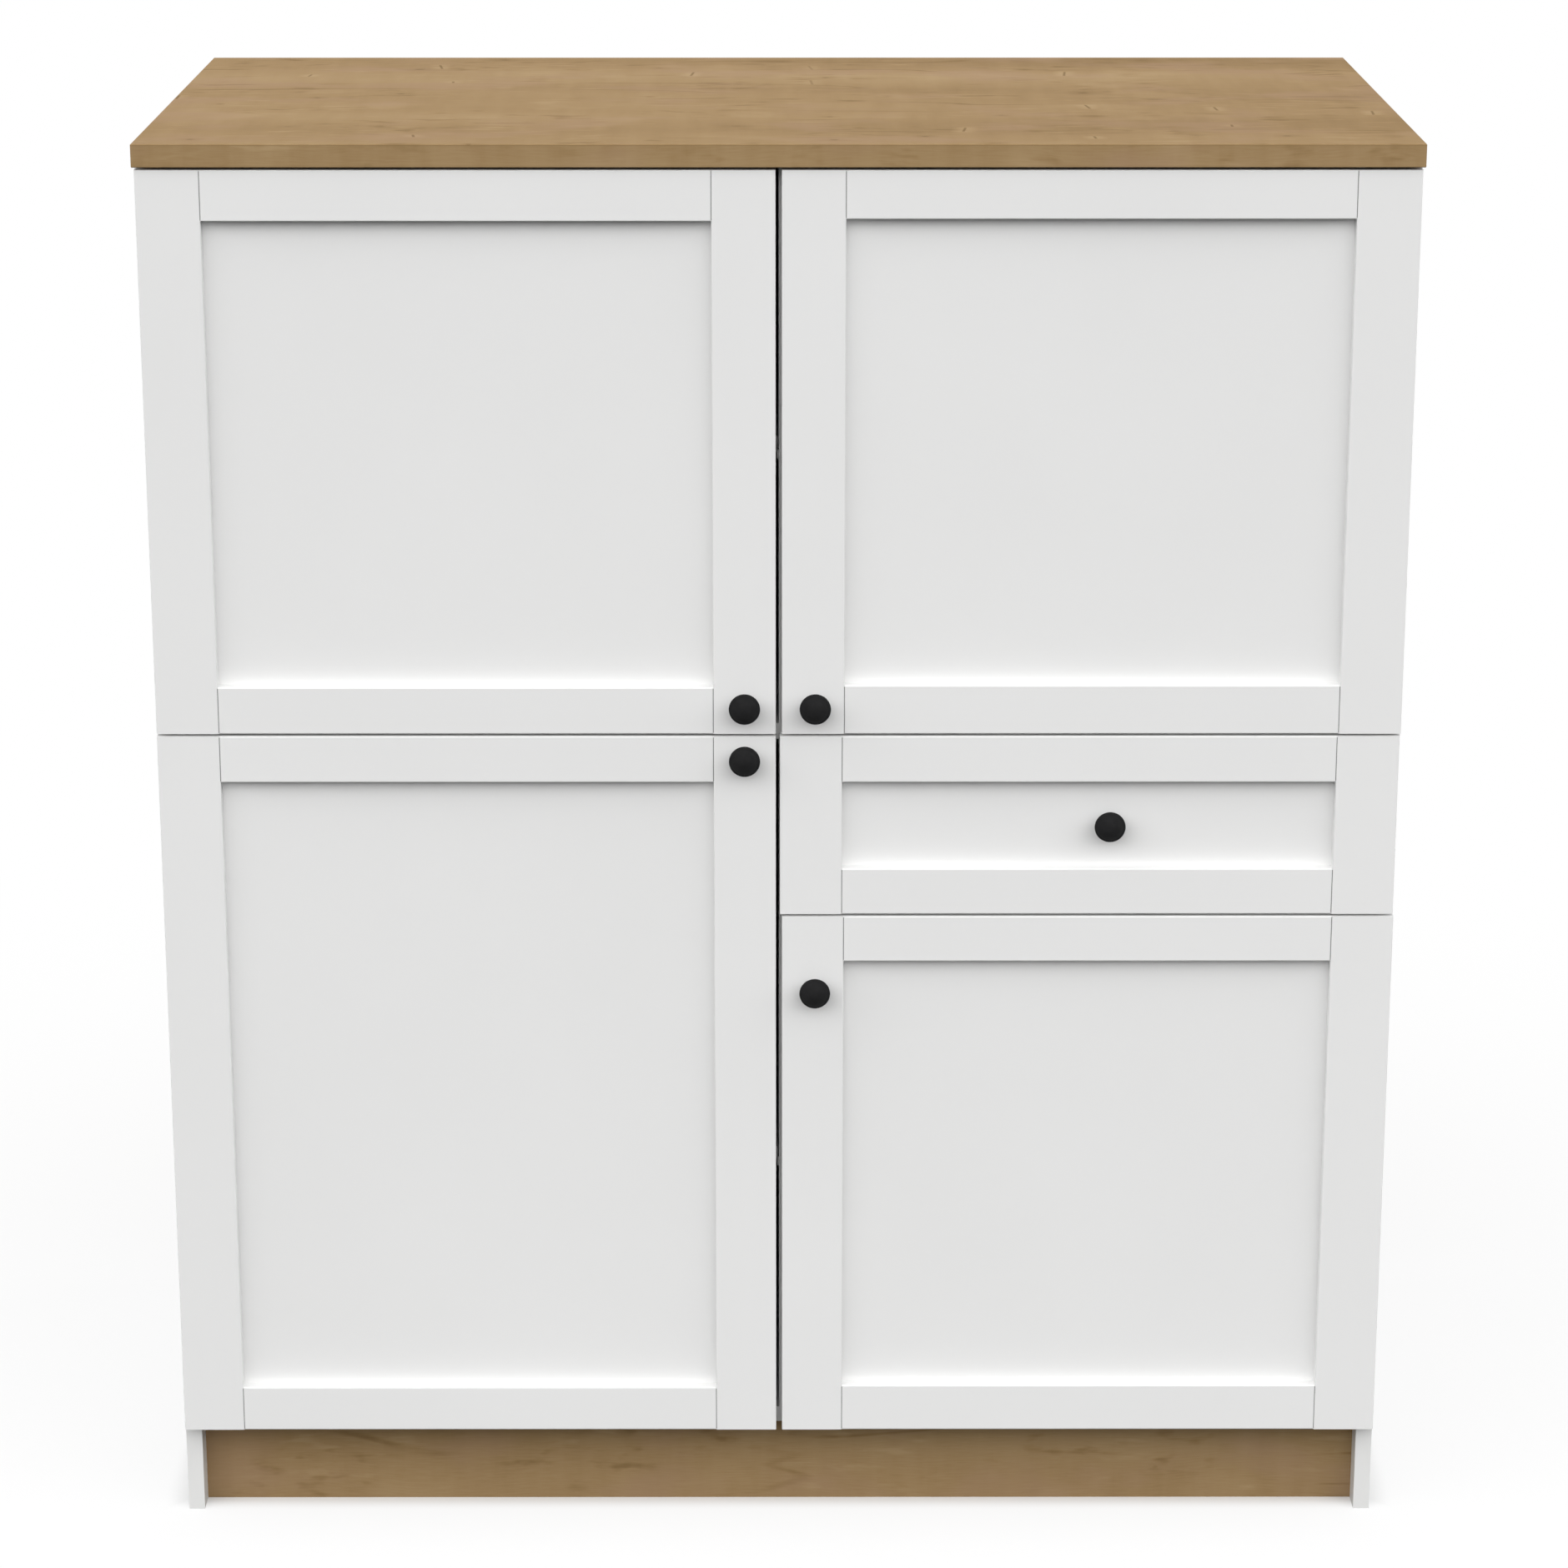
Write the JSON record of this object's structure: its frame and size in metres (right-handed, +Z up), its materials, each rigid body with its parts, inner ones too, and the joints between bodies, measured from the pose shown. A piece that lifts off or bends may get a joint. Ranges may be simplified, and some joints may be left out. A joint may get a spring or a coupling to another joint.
{
  "type": "buffet cabinet",
  "caption": "White buffet cabinet with an oak-look worktop and plinth, framed hinged doors, a drawer on roller runners, shelved bays and round black knobs.",
  "frame": {"origin": "on the floor under the middle of the cabinet's whole outline", "axes": "+X to the right seen from the front, +Y from the front to the back, +Z up"},
  "size_m": [1.2, 0.663, 1.392],
  "materials": {
    "oak": "satin oak-look board, grain along X",
    "white_front": "smooth white lacquer",
    "white_board": "white melamine-faced board",
    "back_sheet": "white faced hardboard",
    "drawer_board": "white faced board",
    "knob_black": "matte black",
    "hinge_steel": "nickel plated",
    "screw_steel": "zinc plated",
    "cam_zinc": "die-cast, dull",
    "runner_steel": "white epoxy",
    "roller_nylon": "nylon",
    "bumper": "soft translucent"
  },
  "bodies": {
    "carcass": {"worktop": "oak", "plinth_board": "oak", "side_panel_left": "white_board", "side_panel_right": "white_board", "centre_divider": "white_board", "bottom_panel": "white_board", "fixed_shelf_left": "white_board", "fixed_shelf_right": "white_board", "shelf_upper_left": "white_board", "shelf_upper_right": "white_board", "shelf_lower_left": "white_board", "shelf_lower_right": "white_board", "plinth_rear_rail": "white_board", "plinth_spine": "white_board", "back_panel_left": "back_sheet", "back_panel_right": "back_sheet", "hinge_arms": "hinge_steel", "hinge_plates": "hinge_steel", "carcass_screws": "screw_steel", "cam_bolts": "screw_steel", "shelf_pins": "screw_steel", "cam_locks": "cam_zinc", "runner_rails": "runner_steel", "drawer_deck": "white_board", "door_bumpers": "bumper"},
    "door_upper_left": {"door_ul_stiles": "white_front", "door_ul_rails": "white_front", "door_ul_panel": "white_front", "door_ul_knob": "knob_black", "door_ul_hinge_cups": "hinge_steel", "door_ul_screws": "screw_steel"},
    "door_upper_right": {"door_ur_stiles": "white_front", "door_ur_rails": "white_front", "door_ur_panel": "white_front", "door_ur_knob": "knob_black", "door_ur_hinge_cups": "hinge_steel", "door_ur_screws": "screw_steel"},
    "door_lower_left": {"door_ll_stiles": "white_front", "door_ll_rails": "white_front", "door_ll_panel": "white_front", "door_ll_knob": "knob_black", "door_ll_hinge_cups": "hinge_steel", "door_ll_screws": "screw_steel"},
    "door_lower_right": {"door_lr_stiles": "white_front", "door_lr_rails": "white_front", "door_lr_panel": "white_front", "door_lr_knob": "knob_black", "door_lr_hinge_cups": "hinge_steel", "door_lr_screws": "screw_steel"},
    "drawer": {"drawer_stiles": "white_front", "drawer_rails": "white_front", "drawer_panel": "white_front", "drawer_knob": "knob_black", "drawer_box_sides": "drawer_board", "drawer_box_ends": "drawer_board", "drawer_box_bottom": "drawer_board", "drawer_slides": "runner_steel", "drawer_screws": "screw_steel"},
    "front_rollers": {"front_rollers": "roller_nylon"},
    "rear_rollers": {"rear_rollers": "roller_nylon"}
  },
  "joints": [
    {"name": "door_upper_left_hinge", "type": "hinge", "parent": "carcass", "child": "door_upper_left", "pos_m": [-0.5888, -0.2968, 1.096], "axis": [0, 0, -1], "range_deg": [0, 100]},
    {"name": "door_upper_right_hinge", "type": "hinge", "parent": "carcass", "child": "door_upper_right", "pos_m": [0.5888, -0.2968, 1.096], "axis": [0, 0, 1], "range_deg": [0, 100]},
    {"name": "door_lower_left_hinge", "type": "hinge", "parent": "carcass", "child": "door_lower_left", "pos_m": [-0.5888, -0.2968, 0.4595], "axis": [0, 0, -1], "range_deg": [0, 100]},
    {"name": "door_lower_right_hinge", "type": "hinge", "parent": "carcass", "child": "door_lower_right", "pos_m": [0.5888, -0.2968, 0.3685], "axis": [0, 0, 1], "range_deg": [0, 100]},
    {"name": "drawer_slide", "type": "slide", "parent": "carcass", "child": "drawer", "axis": [0, -1, 0], "range_m": [0, 0.38]},
    {"name": "front_roller_spin", "type": "hinge", "parent": "carcass", "child": "front_rollers", "pos_m": [0.3, -0.2685, 0.6634], "axis": [1, 0, 0], "continuous": true},
    {"name": "rear_roller_spin", "type": "hinge", "parent": "drawer", "child": "rear_rollers", "pos_m": [0.3, 0.1985, 0.6634], "axis": [1, 0, 0], "continuous": true}
  ],
  "couplings": [
    {"joint": "front_roller_spin", "follows": "drawer_slide", "rad_per_m": 117.65},
    {"joint": "rear_roller_spin", "follows": "drawer_slide", "rad_per_m": 117.65}
  ]
}
